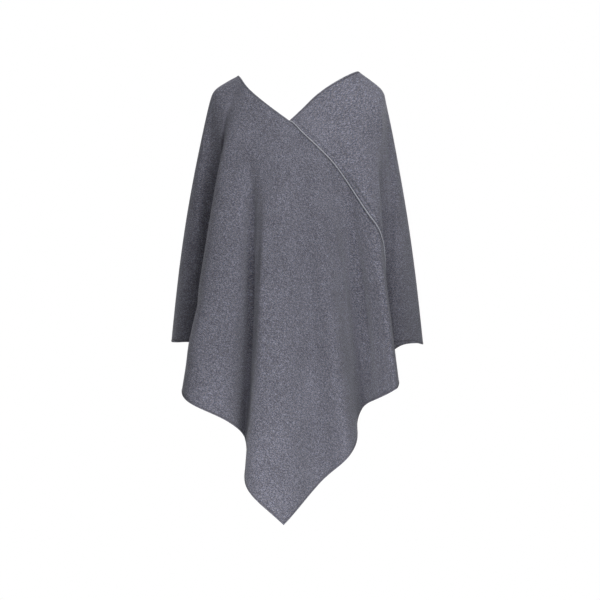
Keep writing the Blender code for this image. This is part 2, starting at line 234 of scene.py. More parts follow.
# The chains of stitches
NECK_CHAIN_END = 0.001       # past the V, where the seam's chain takes over
SEAM_CHAIN_END = 0.004       # before the free end, where the seam's chain stops
LINK_OVERLAP = 1.7           # length of a link, in pitches of the chain
LINK_SIDES, YARN_SIDES = 9, 4                    # corners of a link and of its yarn
LEAN_LEAST, LEAN_MOST = 0.7, 1.3                 # lean of the links, as shares of the tilt
CHAIN_SEED = 3               # of the links' uneven lean
CHAIN_SHADE = 0.62           # the yarn's dark fibres, as a share of its colour

# The stitches of the knit
LEG_SLANT = 1.3              # rows that a leg climbs in the width of a column
LEG_ROUND = 0.6              # power of a leg's round section
GAP_PAINTED_SHADE = 0.62              # tone of the painted shade in the gaps between the legs
PATCH_TONE = 0.07            # how far soft patches differ from the even tone

# Painted shade along a seam: a painted shadow beside the lapped edge, a lighter band over the ribs
# and a painted dark line past them. Columns: distance from the sewn end; share of the tone.
SEAM_PAINTED_SHADE_TONES = [
    (0.0000, 0.70), (0.0040, 0.55), (0.0054, 1.12), (0.0098, 1.12), (0.0116, 0.62),
    (0.0134, 1.00),
]
BRIGHTEST_SEAM_PAINTED_TONE = 1.25   # the colour ramp holds the tones as shares of this one
LIP_GROOVE_PAINTED_SHADE = 0.0037          # from the lapped edge to the painted shade of the groove beside it
LIP_GROOVE_PAINTED_SHADE_CORE = 0.0007     # half the width of the painted shade's dark middle
LIP_GROOVE_PAINTED_SHADE_RIM = 0.0016      # half the width of the whole painted shade in the groove
LIP_GROOVE_PAINTED_SHADE_TONE = 0.55       # tone of the painted shade in the groove's middle


def sine(degrees):
    return np.sin(np.radians(degrees))


def cosine(degrees):
    return np.cos(np.radians(degrees))


def wrapped(angle):
    """The same angle between -90 and 90 degrees: the cloth closes at the back tip."""
    return (angle + HALF_TURN / 2) % HALF_TURN - HALF_TURN / 2


def edge_distance(angle, straight):
    """Distance to a straight edge that passes this far from the apex at a shoulder."""
    return straight / cosine(SHOULDER_LINE - np.abs(wrapped(angle)))


def hem_angle(along):
    """Angle of the point at this length along the hem from the front tip."""
    to_shoulder = 1 - np.abs(along) / QUARTER_HEM
    return wrapped(np.sign(along) * (SHOULDER_LINE - np.degrees(np.arctan(to_shoulder))))


def break_distance(angle):
    """Cloth length from the apex to the ring where the cloth leaves the body."""
    more = BREAK_CLOTH_FRONT - BREAK_CLOTH_SIDE
    return BREAK_CLOTH_SIDE + more * cosine(2 * angle) ** 2


def bearing(angle, turn):
    """Direction round the body, 0 to the front, in degrees."""
    front_left = (angle > 0) & (angle < SHOULDER_LINE)
    spread = np.where(front_left, SPREAD_FRONT_LEFT, SPREAD)
    facing = cosine(2 * angle)
    return 2 * angle + spread * sine(4 * angle) + turn * facing * np.abs(facing)


def round_closed(angles, values, at):
    """Smooth closed curve through values at angles, read at other angles."""
    order = np.argsort(angles)
    angles, values = angles[order], values[order]
    knots = np.concatenate([angles[-2:] - HALF_TURN, angles, angles[:2] + HALF_TURN])
    values = np.concatenate([values[-2:], values, values[:2]])
    steps = np.diff(knots)[:, None]
    slopes = np.diff(values, axis=0) / steps
    tangents = np.zeros_like(values)
    blend = steps[1:] * slopes[:-1] + steps[:-1] * slopes[1:]
    tangents[1:-1] = blend / (steps[1:] + steps[:-1])
    at = (at - angles[0]) % HALF_TURN + angles[0]
    left = np.clip(np.searchsorted(knots, at, side="right") - 1, 1, len(knots) - 3)
    step = steps[left]
    t = (at - knots[left])[:, None] / step
    from_left = (1 + 2 * t) * (1 - t) ** 2 * values[left]
    from_right = t ** 2 * (3 - 2 * t) * values[left + 1]
    leaving = t * (1 - t) ** 2 * step * tangents[left]
    arriving = t ** 2 * (t - 1) * step * tangents[left + 1]
    return from_left + from_right + leaving + arriving


def fold_column(name):
    return np.array([getattr(fold, name) for fold in FOLDS])


def round_body(direction, radius, height):
    return np.stack([radius * sine(direction), -radius * cosine(direction), height], -1)


def neck_ring(angle):
    """The ring through the shoulder peaks, one half-neck from the apex."""
    direction = bearing(angle, NECK_TURN)
    widening = (NECK_HALF_WIDTH - NECK_HALF_DEPTH) * sine(direction) ** 2
    front_right = (sine(direction) < 0) & (cosine(direction) > 0)
    sag = np.where(front_right, NECK_SAG * sine(2 * direction) ** 2, 0.0)
    drop = NECK_DROP * cosine(direction) ** 2
    lean = NECK_LEAN * sine(direction)
    return round_body(direction, NECK_HALF_DEPTH + widening, lean - drop - sag)


def break_ring(angle):
    """The ring where the cloth leaves the shoulders, the chest and the back."""
    direction = bearing(angle, BREAK_TURN)
    to_front = cosine(direction) > 0
    depth = np.where(to_front, BREAK_DEPTH_FRONT, BREAK_DEPTH_BACK)
    power = np.where(to_front, BREAK_ROUND_FRONT, BREAK_ROUND_BACK)
    wide = np.abs(sine(direction) / BREAK_HALF_WIDTH) ** power
    deep = np.abs(cosine(direction) / depth) ** power
    rows, starts = hem_angle(fold_column("along")), fold_column("start")[:, None]
    shifts = (-START_SOFTNESS, 0.0, START_SOFTNESS)
    start = sum(round_closed(rows, starts, angle + shift)[:, 0] for shift in shifts) / 3
    radius = (wide + deep) ** (-1 / power) + start
    facing = cosine(2 * angle)
    lowest = np.where(facing > 0, BREAK_DROP_FRONT, BREAK_DROP_BACK)
    drop = BREAK_DROP_SIDE + (lowest - BREAK_DROP_SIDE) * np.abs(facing) ** BREAK_DROP_POWER
    return round_body(direction, radius, -drop)


def fall(angle):
    """Direction in which the cloth falls from the break ring to the hem.

    Each fold's hem point hangs as far down as its length of cloth allows.
    """
    rows = hem_angle(fold_column("along"))
    top = break_ring(rows)
    hanging = edge_distance(rows, QUARTER_HEM) - break_distance(rows)
    out_x = fold_column("x") - top[:, 0]
    out_y = fold_column("y") - top[:, 1]
    reach = hanging - fold_column("slack")
    down = np.sqrt(reach ** 2 - out_x ** 2 - out_y ** 2)
    per_length = np.stack([out_x, out_y, -down], -1) / hanging[:, None]
    before = round_closed(rows, per_length, angle - FOLD_SOFTNESS)
    after = round_closed(rows, per_length, angle + FOLD_SOFTNESS)
    return (before + 2 * round_closed(rows, per_length, angle) + after) / 4


def drag_depth(drags, angle, distance):
    """How far a table of drag lines pulls the cloth in at a point of the spread cloth."""
    def spread(at_angle, at_distance):
        return np.stack([at_distance * cosine(at_angle), at_distance * sine(at_angle)], -1)

    here = spread(angle, distance)
    depth = np.zeros(len(here))
    for drag in drags:
        start = spread(drag.angle_a, drag.distance_a)
        line = spread(drag.angle_b, drag.distance_b) - start
        t = np.clip((here - start) @ line / (line @ line), 0, 1)
        away = np.linalg.norm(here - start - t[:, None] * line, axis=-1)
        fade = np.sin(np.pi * t) ** DRAG_FADE_POWER
        depth += drag.depth * fade * np.exp(-(away / drag.width) ** 2)
    return depth


def drape(angle, distance):
    """Place in space of points of the spread cloth."""
    angle = wrapped(angle)
    ring = break_ring(angle)
    climb = (neck_ring(angle) - ring) / (break_distance(angle) - HALF_NECK)[:, None]
    bend = BEND_SIDE + (BEND_FRONT - BEND_SIDE) * cosine(2 * angle) ** 2
    past = distance - break_distance(angle)
    below = (past + np.sqrt(past ** 2 + bend ** 2)) / 2
    points = ring + climb * (below - past)[:, None] + fall(angle) * below[:, None]
    share = past / (edge_distance(angle, QUARTER_HEM) - break_distance(angle))
    at_side = sine(2 * angle) ** SLEEVE_BOW_POWER
    bulge = SLEEVE_BOW * np.sin(np.pi * np.clip(share, 0, 1)) * at_side
    outward = round_body(bearing(angle, BREAK_TURN), 1.0, np.zeros(len(angle)))
    pulled = bulge - drag_depth(DRAGS, angle, distance)
    return points + outward * pulled[:, None]


def spread_place(side, across, along):
    """Angle and distance in the spread cloth of points of a panel.

    side is +1 for the wearer's left and -1 for the right. across runs from the neck
    edge to the outer hem, and along from the sewn end to the free end, with 0 at the
    shoulder line.
    """
    from_shoulder = np.degrees(np.arctan2(along, across + HALF_NECK))
    return side * SHOULDER_LINE + from_shoulder, np.hypot(across + HALF_NECK, along)


def smooth_step(value, low, high):
    t = np.clip((value - low) / (high - low), 0, 1)
    return t * t * (3 - 2 * t)


class PanelGrid:
    """A panel's grid, its middle surface and outward normals, with the lap of its seam."""

    def __init__(self, side, settings):
        self.across = self.lines(PANEL_WIDTH, settings.cell)
        self.along = self.lines(PANEL_LENGTH, settings.cell, settings.rib_band) - HALF_NECK
        self.shape = (len(self.across), len(self.along))
        across, along = np.meshgrid(self.across, self.along, indexing="ij")
        self.u, self.v = across, along
        lapped = smooth_step(along, HALF_NECK + LAP_START, HALF_NECK + LAP_FULL)
        near = np.exp(-(across / LAP_REACH) ** 2)
        shifted = across - settings.lap_width * lapped * near
        shifted = np.where(lapped * near < LAP_LEAST, np.maximum(shifted, 0), shifted)
        tucked = along + SEAM_GAP / 2 * (along == self.along[0])
        angle, distance = spread_place(side, shifted.ravel(), tucked.ravel())
        points = drape(angle, distance).reshape(*self.shape, 3)
        normals = self.outward(points)
        crease = drag_depth(CREASES, wrapped(angle), distance).reshape(self.shape)
        lift = settings.lap_lift * lapped * near
        points = points + normals * (lift - crease)[..., None]
        self.points, self.normals = points, self.outward(points)

    @staticmethod
    def lines(length, cell, rib_band=0.0):
        """Grid lines over a length: fine ones by the edges and the ribs, even ones between."""
        first = [place for place, _ in EDGE_PROFILE]
        last = [length - place for place in reversed(first)]
        if rib_band > 0:
            count = round((rib_band - first[-1]) / RIB_CELL)
            first += list(np.linspace(first[-1], rib_band, count + 1)[1:])
        count = round((last[0] - first[-1]) / cell)
        middle = np.linspace(first[-1], last[0], count + 1)[1:-1]
        return np.array([*first, *middle, *last])

    def outward(self, points):
        """Unit normals of a grid of points, on the side away from the body."""
        by_across = np.gradient(points, self.across, axis=0)
        by_along = np.gradient(points, self.along, axis=1)
        normals = np.cross(by_across, by_along)
        return normals / np.linalg.norm(normals, axis=-1, keepdims=True)


def half_wall(grid):
    """Half thickness of the wall at the grid's points: rolled edges, plain between them."""
    places, halves = zip(*EDGE_PROFILE)
    sides = [grid.u, PANEL_WIDTH - grid.u, PANEL_LENGTH - HALF_NECK - grid.v]
    from_edge = np.minimum.reduce(sides)
    wall = np.interp(from_edge, places, halves)
    sewn = np.interp(grid.v + HALF_NECK, [0.0, SEWN_TAPER], [SEWN_HALF_WALL, WALL / 2])
    return np.minimum(wall, sewn)


def ribs(grid, settings):
    """Height of the ribs of the border along the sewn end, over the plain wall."""
    from_end = grid.v + HALF_NECK - settings.rib_start
    wave = (1 - np.cos(2 * np.pi * from_end / settings.rib_pitch)) / 2
    inside = (from_end > 0) & (from_end < settings.rib_count * settings.rib_pitch)
    return np.where(inside, settings.rib_height * wave, 0.0)


def shell_mesh(name, grid, settings):
    """Closed shell of a panel, with its own UV map in metres of knit."""
    rows, columns = grid.shape
    half = half_wall(grid)
    outer = grid.points + grid.normals * (half + ribs(grid, settings))[..., None]
    inner = grid.points - grid.normals * half[..., None]
    index = np.arange(rows * columns).reshape(rows, columns)
    quads = np.stack([index[:-1, :-1], index[1:, :-1], index[1:, 1:], index[:-1, 1:]], -1)
    quads = quads.reshape(-1, 4)
    back = quads[:, ::-1] + rows * columns
    border = np.concatenate([index[:-1, 0], index[-1, :-1], index[:0:-1, -1], index[0, :0:-1]])
    following = np.roll(border, -1)
    rim = np.stack([following, border, border + rows * columns, following + rows * columns], -1)
    faces = np.concatenate([quads, back, rim])
    mesh = bpy.data.meshes.new(name)
    mesh.from_pydata(np.concatenate([outer.reshape(-1, 3), inner.reshape(-1, 3)]), [], faces)
    place = np.stack([grid.u.ravel(), grid.v.ravel()], -1)
    place = np.concatenate([place, place])
    mesh.uv_layers.new(name="knit").data.foreach_set("uv", place[faces.ravel()].ravel())
    slots = [0] * len(quads) + [1] * len(back) + [0] * len(rim)
    mesh.polygons.foreach_set("material_index", slots)
    mesh.shade_smooth()
    mesh.update()
    mesh.validate()
    return mesh


class Tree:
    """Short calls for adding nodes and links to a node tree."""

    def __init__(self, tree):
        self.tree = tree

    def add(self, kind, values=(), **settings):
        node = self.tree.nodes.new(kind)
        for name, value in settings.items():
            setattr(node, name, value)
        self.feed(node, values)
        return node

    def feed(self, node, values):
        """Link or set inputs of a node."""
        for name, value in dict(values).items():
            socket = node.inputs[name]
            if isinstance(value, bpy.types.NodeSocket):
                self.tree.links.new(value, socket)
            else:
                socket.default_value = value

    def math(self, operation, *values):
        return self.add("ShaderNodeMath", enumerate(values), operation=operation).outputs[0]

    def mix(self, share, first, second, blend_type="MIX"):
        values = {0: share, 6: first, 7: second}
        node = self.add("ShaderNodeMix", values, data_type="RGBA", blend_type=blend_type)
        return node.outputs[2]

    def shaded(self, colour, share):
        """A colour times a share that varies over the surface."""
        grey = self.add("ShaderNodeCombineColor", {0: share, 1: share, 2: share}).outputs[0]
        return self.mix(1.0, colour, grey, "MULTIPLY")

    def ranged(self, value, low, high, to_low=0.0, to_high=1.0):
        """A value between two limits, brought between two others."""
        limits = {"From Min": low, "From Max": high, "To Min": to_low, "To Max": to_high}
        return self.add("ShaderNodeMapRange", {"Value": value, **limits}).outputs[0]

    def noise(self, place, scale, detail, roughness=0.5, dimensions="3D"):
        values = {"Vector": place, "Scale": scale, "Detail": detail, "Roughness": roughness}
        node = self.add("ShaderNodeTexNoise", values, noise_dimensions=dimensions)
        return node.outputs["Fac"]

    def ramp(self, share, stops):
        """A colour from a table of places, from 0 to 1, and their colours."""
        node = self.add("ShaderNodeValToRGB", {"Fac": share})
        elements = node.color_ramp.elements
        elements[0].color = (*stops[0][1], 1)
        elements[1].color = (*stops[-1][1], 1)
        for place, colour in stops[1:-1]:
            elements.new(place).color = (*colour, 1)
        return node.outputs["Color"]


def seam_painted_shade(tree, across, along):
    """Share of the knit's tone beside the seams: painted shadow and shade lines, a lighter band,
    and painted shade in the lap's groove.
    """
    from_end = tree.math("ADD", along, HALF_NECK)
    width = SEAM_PAINTED_SHADE_TONES[-1][0]
    stops = [(place / width, [share / BRIGHTEST_SEAM_PAINTED_TONE] * 3) for place, share in SEAM_PAINTED_SHADE_TONES]
    shares = tree.ramp(tree.math("DIVIDE", from_end, width), stops)
    band = tree.math("MULTIPLY", shares, BRIGHTEST_SEAM_PAINTED_TONE)
    # Painted shade in the groove beside the lapped edge, past the neck.
    off = tree.math("ABSOLUTE", tree.math("SUBTRACT", across, LIP_GROOVE_PAINTED_SHADE))
    dark = 1.0 - LIP_GROOVE_PAINTED_SHADE_TONE
    groove_shade = tree.ranged(off, LIP_GROOVE_PAINTED_SHADE_CORE, LIP_GROOVE_PAINTED_SHADE_RIM, dark, 0.0)
    past_neck = tree.math("GREATER_THAN", along, HALF_NECK)
    left = tree.math("SUBTRACT", 1.0, tree.math("MULTIPLY", groove_shade, past_neck))
    return tree.math("MULTIPLY", band, left)


def new_material(name):
    """A material, the calls for its node tree, and its shader."""
    material = bpy.data.materials.new(name)
    material.use_nodes = True
    return material, Tree(material.node_tree), material.node_tree.nodes["Principled BSDF"]


def knit_material(name, settings, tone=1.0, reverse=False):
    """Melange jersey: slanting stitch legs in columns, each with its own tone of yarn."""
    material, tree, shader = new_material(name)
    uv = tree.add("ShaderNodeUVMap", uv_map="knit").outputs["UV"]
    across, along = tree.add("ShaderNodeSeparateXYZ", {"Vector": uv}).outputs[:2]
    column = tree.math("DIVIDE", across, settings.stitch_width)
    row = tree.math("DIVIDE", along, settings.stitch_height)
    in_column = tree.math("SUBTRACT", tree.math("FRACT", column), 0.5)
    from_middle = tree.math("ABSOLUTE", in_column)
    slanted = tree.math("MULTIPLY_ADD", from_middle, -LEG_SLANT, row)
    in_row = tree.math("FRACT", slanted)
    leg = tree.math("SINE", tree.math("MULTIPLY", from_middle, 2 * np.pi))
    loop = tree.math("SINE", tree.math("MULTIPLY", in_row, np.pi))
    bulge = tree.math("POWER", tree.math("MULTIPLY", leg, loop), LEG_ROUND)

    # The yarn's colours times the panel's share, above 1 for the left panel's lighter copy, which
    # is painted light.
    def toned(colour):
        return [tone * part for part in colour]

    half_column = tree.math("FLOOR", tree.math("MULTIPLY", column, 2.0))
    stitch = tree.add("ShaderNodeCombineXYZ", {0: half_column, 1: tree.math("FLOOR", slanted)})
    chance = tree.add(
        "ShaderNodeTexWhiteNoise", {"Vector": stitch.outputs[0]}, noise_dimensions="2D"
    ).outputs["Value"]
    base = toned(settings.reverse if reverse else settings.yarn)
    dark, light = toned(settings.dark_fleck), toned(settings.light_fleck)
    colour = tree.ramp(chance, [(0.0, dark), (0.35, base), (0.65, base), (1.0, light)])
    specks = tree.noise(uv, settings.fleck_scale, 3.0, 0.65, "2D")
    beige_share = tree.ranged(specks, 0.52, 0.64, to_high=0.60)
    blue_share = tree.ranged(specks, 0.48, 0.37, to_high=0.70)
    colour = tree.mix(beige_share, colour, (*toned(settings.beige_fleck), 1))
    colour = tree.mix(blue_share, colour, (*toned(settings.blue_fleck), 1))
    # Painted shade: the knit darkens in the gaps between the stitch legs.
    colour = tree.shaded(colour, tree.ranged(bulge, 0.0, 0.7, GAP_PAINTED_SHADE, 1.0))
    patches = tree.noise(uv, 14.0, 2.0, dimensions="2D")
    even = tree.ranged(patches, 0.3, 0.7, 1 - PATCH_TONE, 1 + PATCH_TONE)
    colour = tree.shaded(colour, even)
    # Painted shadow and shade along the seams, on the outside of the knit only.
    if not reverse:
        colour = tree.shaded(colour, seam_painted_shade(tree, across, along))

    fuzz = tree.noise(uv, 1400.0, 4.0, 0.7, "2D")
    height = tree.math("MULTIPLY_ADD", fuzz, 0.5, bulge)
    relief = {"Height": height, "Strength": 0.7, "Distance": settings.stitch_relief}
    tree.feed(shader, {
        "Base Color": colour,
        "Normal": tree.add("ShaderNodeBump", relief).outputs["Normal"],
        "Roughness": tree.ranged(fuzz, 0.0, 1.0, 0.86, 1.0),
        "Specular IOR Level": 0.25,
        "Sheen Weight": settings.sheen,
        "Sheen Roughness": 0.45,
        "Sheen Tint": (0.80, 0.82, 0.90, 1.0),
    })
    material.diffuse_color = (*base, 1)
    return material


class StitchChain:
    """The node tree that lays a chain of stitches along a path."""

    def __init__(self):
        self.tree = bpy.data.node_groups.new("stitch_chain", "GeometryNodeTree")
        face = self.tree.interface
        face.new_socket("Geometry", in_out="INPUT", socket_type="NodeSocketGeometry")
        face.new_socket("Geometry", in_out="OUTPUT", socket_type="NodeSocketGeometry")
        for name in ("Pitch", "Link Length", "Link Width", "Yarn Radius", "Tilt"):
            face.new_socket(name, in_out="INPUT", socket_type="NodeSocketFloat")
        face.new_socket("Seed", in_out="INPUT", socket_type="NodeSocketInt")
        face.new_socket("Yarn", in_out="INPUT", socket_type="NodeSocketMaterial")
        self.build()

    def build(self):
        tree = Tree(self.tree)
        given = tree.add("NodeGroupInput").outputs
        path = tree.add("GeometryNodeMeshToCurve", {"Mesh": given["Geometry"]}).outputs[0]
        steps = tree.add(
            "GeometryNodeResampleCurve", {"Curve": path, "Length": given["Pitch"]},
            mode="LENGTH",
        )
        halves = [tree.math("MULTIPLY", given[name], 0.5) for name in ("Link Length", "Link Width")]
        size = tree.add("ShaderNodeCombineXYZ", {0: halves[0], 1: halves[1], 2: 1.0}).outputs[0]
        ring = tree.add(
            "GeometryNodeCurvePrimitiveCircle", {"Resolution": LINK_SIDES, "Radius": 1.0}
        )
        loop = tree.add("GeometryNodeTransform", {"Geometry": ring.outputs[0], "Scale": size})
        yarn = tree.add(
            "GeometryNodeCurvePrimitiveCircle",
            {"Resolution": YARN_SIDES, "Radius": given["Yarn Radius"]},
        )
        link = tree.add(
            "GeometryNodeCurveToMesh", {"Curve": loop.outputs[0], "Profile Curve": yarn.outputs[0]}
        )
        run = tree.add("GeometryNodeInputTangent").outputs[0]
        facing = tree.add(
            "GeometryNodeInputNamedAttribute", {"Name": "facing"}, data_type="FLOAT_VECTOR"
        )
        forward = tree.add("FunctionNodeAlignRotationToVector", {"Vector": run}, axis="X")
        upright = tree.add(
            "FunctionNodeAlignRotationToVector",
            {"Rotation": forward.outputs[0], "Vector": facing.outputs[0]},
            axis="Z", pivot_axis="X",
        )
        uneven = tree.add("FunctionNodeRandomValue", data_type="FLOAT")
        uneven.inputs["Min"].default_value = LEAN_LEAST
        uneven.inputs["Max"].default_value = LEAN_MOST
        self.tree.links.new(given["Seed"], uneven.inputs["Seed"])
        chance = [out for out in uneven.outputs if out.type == "VALUE" and out.enabled][0]
        lean = tree.math("MULTIPLY", given["Tilt"], chance)
        turn = tree.add("ShaderNodeCombineXYZ", {0: 0.0, 1: lean, 2: 0.0}).outputs[0]
        tilted = tree.add(
            "FunctionNodeRotateRotation",
            {"Rotation": upright.outputs[0], "Rotate By": turn}, rotation_space="LOCAL",
        )
        laid = tree.add(
            "GeometryNodeInstanceOnPoints",
            {"Points": steps.outputs[0], "Instance": link.outputs[0],
             "Rotation": tilted.outputs[0]},
        )
        solid = tree.add("GeometryNodeRealizeInstances", {"Geometry": laid.outputs[0]})
        dyed = tree.add(
            "GeometryNodeSetMaterial",
            {"Geometry": solid.outputs[0], "Material": given["Yarn"]},
        )
        tree.add("NodeGroupOutput", {"Geometry": dyed.outputs[0]})

    def lay(self, context, name, points, facings, sizes):
        """A plain mesh of links along a path, each with its face turned as given."""
        mesh = bpy.data.meshes.new(name + "_path")
        edges = [(start, start + 1) for start in range(len(points) - 1)]
        mesh.from_pydata(points.tolist(), edges, [])
        facing = mesh.attributes.new("facing", "FLOAT_VECTOR", "POINT")
        facing.data.foreach_set("vector", facings.ravel())
        path = bpy.data.objects.new(name, mesh)
        context.scene.collection.objects.link(path)
        chain = path.modifiers.new("chain", "NODES")
        chain.node_group = self.tree
        for socket in self.tree.interface.items_tree:
            if socket.in_out == "INPUT" and socket.name in sizes:
                chain[socket.identifier] = sizes[socket.name]
        evaluated = path.evaluated_get(context.evaluated_depsgraph_get())
        links = bpy.data.meshes.new_from_object(evaluated)
        path.modifiers.remove(chain)
        path.data = links
        bpy.data.meshes.remove(mesh)
        if not links.polygons:
            raise RuntimeError(name + " has no stitches")
        links.shade_smooth()
        return path


def chain_material(name, colour, settings):
    """Twisted yarn of the linking chains."""
    material, tree, shader = new_material(name)
    place = tree.add("ShaderNodeTexCoord").outputs["Object"]
    flecks = tree.ranged(tree.noise(place, 420.0, 3.0, 0.6), 0.35, 0.65)
    darker = tuple(CHAIN_SHADE * part for part in colour)
    relief = {"Height": tree.noise(place, 1500.0, 2.0), "Strength": 0.5, "Distance": 0.0003}
    tree.feed(shader, {
        "Base Color": tree.mix(flecks, (*darker, 1), (*colour, 1)),
        "Normal": tree.add("ShaderNodeBump", relief).outputs["Normal"],
        "Roughness": 0.9,
        "Specular IOR Level": 0.25,
        "Sheen Weight": settings.sheen,
        "Sheen Roughness": 0.45,
    })
    material.diffuse_color = (*colour, 1)
    return material


class PonchoClothSettings(bpy.types.PropertyGroup):
    """Sizes of the knitted panels."""

    cell: bpy.props.FloatProperty(
        name="Cell", description="Size of the cells of a panel's mesh",
        default=0.0044, min=0.002, unit="LENGTH")
    rib_band: bpy.props.FloatProperty(
        name="Rib band", description="Width of the ribbed border at a sewn end",
        default=0.0190, unit="LENGTH")
    rib_start: bpy.props.FloatProperty(
        name="Rib start", description="Plain strip under the lap, before the first rib",
        default=0.0040, unit="LENGTH")
    rib_pitch: bpy.props.FloatProperty(
        name="Rib pitch", description="Distance between ribs", default=0.0045, unit="LENGTH")
    rib_count: bpy.props.IntProperty(
        name="Ribs", description="Number of ribs in the border", default=3, min=0)
    rib_height: bpy.props.FloatProperty(
        name="Rib height", description="How far the ribs stand up", default=0.0015,
        unit="LENGTH")
    lap_width: bpy.props.FloatProperty(
        name="Lap width", description="How far a panel's edge lies over the other's end",
        default=0.0028, unit="LENGTH")
    lap_lift: bpy.props.FloatProperty(
        name="Lap lift", description="How far the lapped edge stands up",
        default=0.0023, unit="LENGTH")


class PonchoKnitSettings(bpy.types.PropertyGroup):
    """Yarn and stitches."""

    yarn: bpy.props.FloatVectorProperty(
        name="Yarn", description="Main tone of the melange yarn", subtype="COLOR",
        default=YARN, min=0, max=1)
    dark_fleck: bpy.props.FloatVectorProperty(
        name="Dark tone", description="Darkest tone of the melange", subtype="COLOR",
        default=(0.050, 0.050, 0.070), min=0, max=1)
    light_fleck: bpy.props.FloatVectorProperty(
        name="Light tone", description="Lightest tone of the melange", subtype="COLOR",
        default=(0.286, 0.288, 0.366), min=0, max=1)
    beige_fleck: bpy.props.FloatVectorProperty(
        name="Beige flecks", description="Warm fibres in the yarn", subtype="COLOR",
        default=(0.270, 0.255, 0.262), min=0, max=1)
    blue_fleck: bpy.props.FloatVectorProperty(
        name="Blue flecks", description="Cool fibres in the yarn", subtype="COLOR",
        default=(0.058, 0.074, 0.124), min=0, max=1)
    reverse: bpy.props.FloatVectorProperty(
        name="Reverse", description="Main tone of the inside of the knit", subtype="COLOR",
        default=(0.190, 0.186, 0.205), min=0, max=1)
    chain: bpy.props.FloatVectorProperty(
        name="Linking yarn", description="Yarn of the seams' chains", subtype="COLOR",
        default=(0.500, 0.515, 0.570), min=0, max=1)
    edge_chain: bpy.props.FloatVectorProperty(
        name="Edge yarn", description="Yarn of the chains at the neck and hem",
        subtype="COLOR", default=(0.120, 0.118, 0.142), min=0, max=1)
    chain_pitch: bpy.props.FloatProperty(
        name="Chain pitch", description="Distance between the stitches of a chain",
        default=0.0024, min=0.001, unit="LENGTH")
    chain_width: bpy.props.FloatProperty(
        name="Chain width", description="Width of a chain's links", default=0.0016,
        unit="LENGTH")
    chain_yarn: bpy.props.FloatProperty(
        name="Chain yarn", description="Radius of the yarn of the chains", default=0.00042,
        unit="LENGTH")
    chain_tilt: bpy.props.FloatProperty(
        name="Chain tilt", description="How steeply each link lies on the one before",
        default=0.22, subtype="ANGLE")
    # Painted light: the left panel's knit is a lighter copy of the same yarn, for how the light
    # catches its stitches, which run across the right panel's.
    left_painted_light: bpy.props.FloatProperty(
        name="Left panel's tone", description="How much lighter the left panel's knit is",
        default=1.12, min=0)
    fleck_scale: bpy.props.FloatProperty(
        name="Flecks", description="Flecks of the melange per metre", default=470.0, min=1)
    stitch_width: bpy.props.FloatProperty(
        name="Stitch width", description="Width of a column of stitches",
        default=0.0026, min=0.0005, unit="LENGTH")
    stitch_height: bpy.props.FloatProperty(
        name="Stitch height", description="Height of a row of stitches",
        default=0.0021, min=0.0005, unit="LENGTH")
    stitch_relief: bpy.props.FloatProperty(
        name="Stitch relief", description="How far the stitches stand up",
        default=0.0007, unit="LENGTH")
    sheen: bpy.props.FloatProperty(
        name="Fuzz", description="Soft shine of the loose fibres", default=0.25, min=0, max=1)


class PonchoStageSettings(bpy.types.PropertyGroup):
    """Camera, light and floor."""

    camera_distance: bpy.props.FloatProperty(
        name="Camera distance", description="From the lens to the wearer's middle",
        default=3.2, unit="LENGTH")
    camera_height: bpy.props.FloatProperty(
        name="Camera height", description="Of the lens, from the origin", default=-0.5085,
        unit="LENGTH")
    camera_side: bpy.props.FloatProperty(
        name="Camera side", description="Of the lens, to the wearer's left", default=0.0034,
        unit="LENGTH")
    view_width: bpy.props.FloatProperty(
        name="View width", description="Width that the picture takes in at the wearer's middle",
        default=1.35, unit="LENGTH")
    floor_drop: bpy.props.FloatProperty(
        name="Floor", description="Height of the floor, from the origin", default=-1.38,
        unit="LENGTH")
    floor_radius: bpy.props.FloatProperty(
        name="Floor radius", description="Radius of the round pale floor", default=0.72,
        unit="LENGTH")
    light_strength: bpy.props.FloatProperty(
        name="Lights", description="Strength of all the soft lights together", default=1.0,
        min=0)
    ambient: bpy.props.FloatProperty(
        name="Ambient", description="Strength of the white surroundings as a light",
        default=0.03, min=0)


class PONCHO_OT_panels(bpy.types.Operator):
    """Build both knitted panels over their solids"""

    bl_idname = "poncho.panels"
    bl_label = "Knitted panels"

    def execute(self, context):
        cloth = context.scene.poncho_cloth
        knit = context.scene.poncho_knit
        back = knit_material("melange_knit_reverse", knit, reverse=True)
        # The left panel's knit is the lighter copy of the same yarn: painted light.
        for name, side, tone in (("right_panel", -1, 1.0), ("left_panel", 1, knit.left_painted_light)):
            mesh = shell_mesh(name + "_knit", PanelGrid(side, cloth), cloth)
            mesh.materials.append(knit_material(name + "_melange", knit, tone))
            mesh.materials.append(back)
            panel = bpy.data.objects.new(name + "_knit", mesh)
            context.scene.collection.objects.link(panel)
            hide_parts(name)
            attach(panel, BODY)
        return {"FINISHED"}


